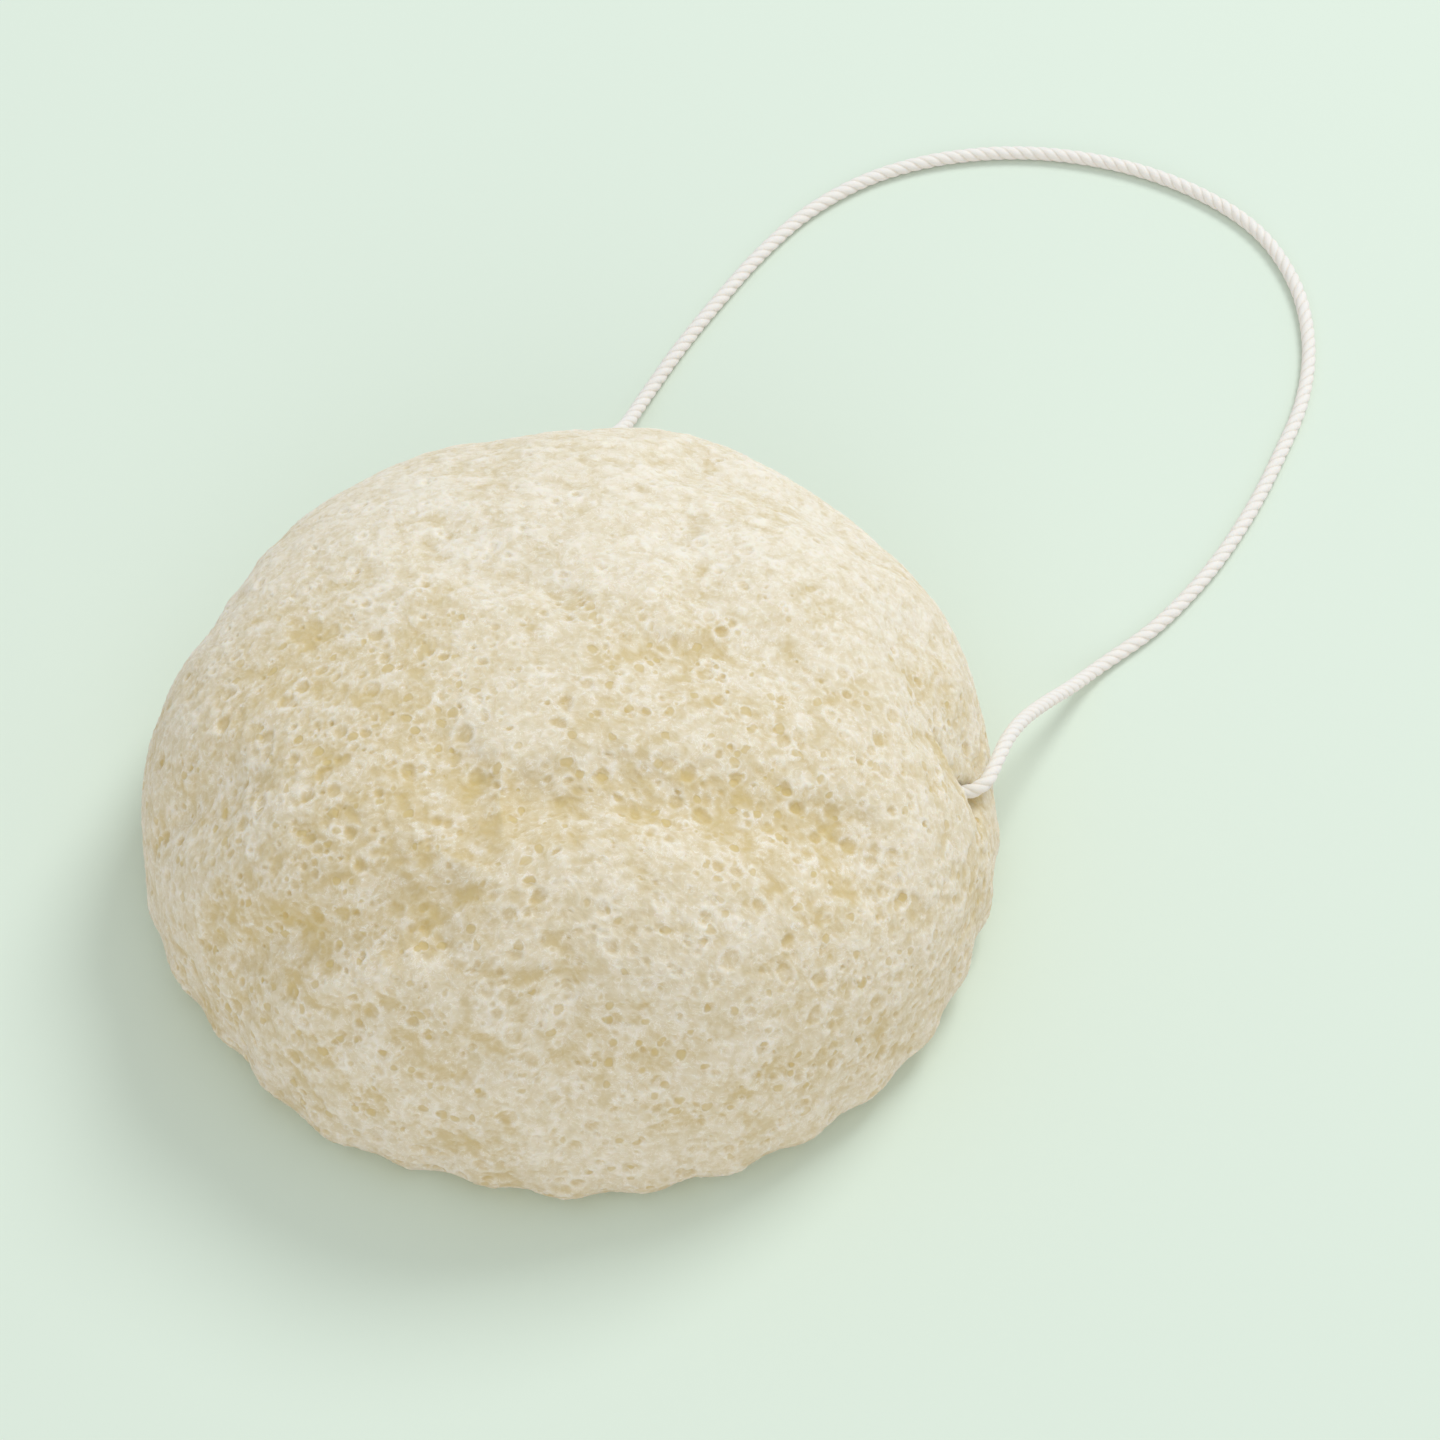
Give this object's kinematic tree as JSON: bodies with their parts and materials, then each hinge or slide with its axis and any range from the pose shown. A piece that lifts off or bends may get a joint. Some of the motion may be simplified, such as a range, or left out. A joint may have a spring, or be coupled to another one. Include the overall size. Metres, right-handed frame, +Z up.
{
  "type": "konjac sponge",
  "caption": "Half-ball facial sponge of porous konjac fibre with a twisted cotton string threaded through it as a hanging loop.",
  "frame": {"origin": "middle of the puff's flat face, on the surface that it rests on", "axes": "+Z up through the dome, +X to the right along the string's channel, +Y towards the free loop of string"},
  "size_m": [0.0829, 0.1451, 0.0348],
  "materials": {
    "konjac_fibre": "matte porous",
    "cotton_string": "soft twisted"
  },
  "bodies": {
    "puff": {"puff": "konjac_fibre"},
    "string": {"string_loop": "cotton_string", "string_run_left": "cotton_string", "string_run_right": "cotton_string", "knot_left_bight": "cotton_string", "knot_right_bight": "cotton_string"}
  },
  "joints": [
    {"name": "string_swing", "type": "hinge", "parent": "puff", "child": "string", "pos_m": [0, 0.0238, 0.0132], "axis": [1, 0, 0], "range_deg": [0, 90]}
  ]
}
